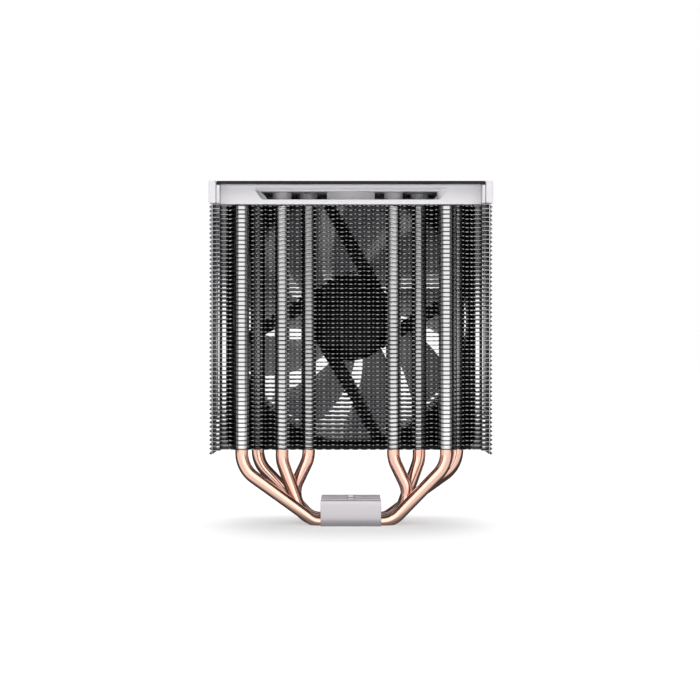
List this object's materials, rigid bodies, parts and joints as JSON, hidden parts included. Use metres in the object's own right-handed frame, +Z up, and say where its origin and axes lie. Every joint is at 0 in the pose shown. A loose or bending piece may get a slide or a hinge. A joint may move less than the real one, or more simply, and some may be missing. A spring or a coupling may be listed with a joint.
{
  "type": "cpu tower cooler",
  "caption": "Tower cooler for a processor: milled base, bent copper heat pipes, a stack of thin fins, a two-piece top cover and an axial fan held on by wire clips.",
  "frame": {"origin": "centre of the face of the base that rests on the processor, with that face at Z = 0", "axes": "+Z up the tower along the heat pipes, -Y the side the air leaves by, +Y the fan's side, +X to the right as seen from the exhaust side"},
  "size_m": [0.1294, 0.0763, 0.158],
  "materials": {
    "milled_aluminium": "satin, finely milled",
    "copper_pipe": "bare copper, drawn and lightly polished",
    "fin_aluminium": "bare rolled aluminium sheet",
    "white_shell": "satin white moulded shell",
    "black_plate": "matt charcoal coating",
    "fan_frame_plastic": "fine moulded texture, black",
    "smoked_blade_plastic": "smoky grey, semi-gloss",
    "ferrite": "matt sintered",
    "shaft_steel": "ground",
    "clip_plastic": "natural nylon",
    "bearing_bronze": "sintered bronze",
    "board_laminate": "solder-masked laminate",
    "stator_steel": "stacked laminations",
    "coil_copper": "enamelled wire",
    "pad_rubber": "matt silicone rubber",
    "spring_wire": "plated spring steel wire"
  },
  "bodies": {
    "tower": {"base_block": "milled_aluminium", "heat_pipe_1": "copper_pipe", "heat_pipe_2": "copper_pipe", "heat_pipe_3": "copper_pipe", "heat_pipe_4": "copper_pipe", "fin_01": "fin_aluminium", "fin_02": "fin_aluminium", "fin_03": "fin_aluminium", "fin_04": "fin_aluminium", "fin_05": "fin_aluminium", "fin_06": "fin_aluminium", "fin_07": "fin_aluminium", "fin_08": "fin_aluminium", "fin_09": "fin_aluminium", "fin_10": "fin_aluminium", "fin_11": "fin_aluminium", "fin_12": "fin_aluminium", "fin_13": "fin_aluminium", "fin_14": "fin_aluminium", "fin_15": "fin_aluminium", "fin_16": "fin_aluminium", "fin_17": "fin_aluminium", "fin_18": "fin_aluminium", "fin_19": "fin_aluminium", "fin_20": "fin_aluminium", "fin_21": "fin_aluminium", "fin_22": "fin_aluminium", "fin_23": "fin_aluminium", "fin_24": "fin_aluminium", "fin_25": "fin_aluminium", "fin_26": "fin_aluminium", "fin_27": "fin_aluminium", "fin_28": "fin_aluminium", "fin_29": "fin_aluminium", "top_cover": "white_shell", "top_plate": "black_plate", "fan_frame": "fan_frame_plastic", "fan_barrel": "fan_frame_plastic", "fan_intake_flange": "fan_frame_plastic", "bearing_sleeve": "bearing_bronze", "circuit_board": "board_laminate", "stator_core": "stator_steel", "stator_coil_1": "coil_copper", "stator_coil_2": "coil_copper", "stator_coil_3": "coil_copper", "stator_coil_4": "coil_copper", "corner_pad_1": "pad_rubber", "corner_pad_2": "pad_rubber", "corner_pad_3": "pad_rubber", "corner_pad_4": "pad_rubber"},
    "rotor": {"fan_rotor": "smoked_blade_plastic", "magnet_ring": "ferrite", "rotor_shaft": "shaft_steel", "shaft_clip": "clip_plastic"},
    "clip_right": {"fan_clip_right": "spring_wire"},
    "clip_left": {"fan_clip_left": "spring_wire"}
  },
  "joints": [
    {"name": "fan_spin", "type": "hinge", "parent": "tower", "child": "rotor", "pos_m": [0, 0.0375, 0.096], "axis": [0, 1, 0], "continuous": true},
    {"name": "clip_right_swing", "type": "hinge", "parent": "tower", "child": "clip_right", "pos_m": [0.0525, 0.049, 0.096], "axis": [0, 0, 1], "range_deg": [0, 35]},
    {"name": "clip_left_swing", "type": "hinge", "parent": "tower", "child": "clip_left", "pos_m": [-0.0525, 0.049, 0.096], "axis": [0, 0, -1], "range_deg": [0, 35]}
  ]
}
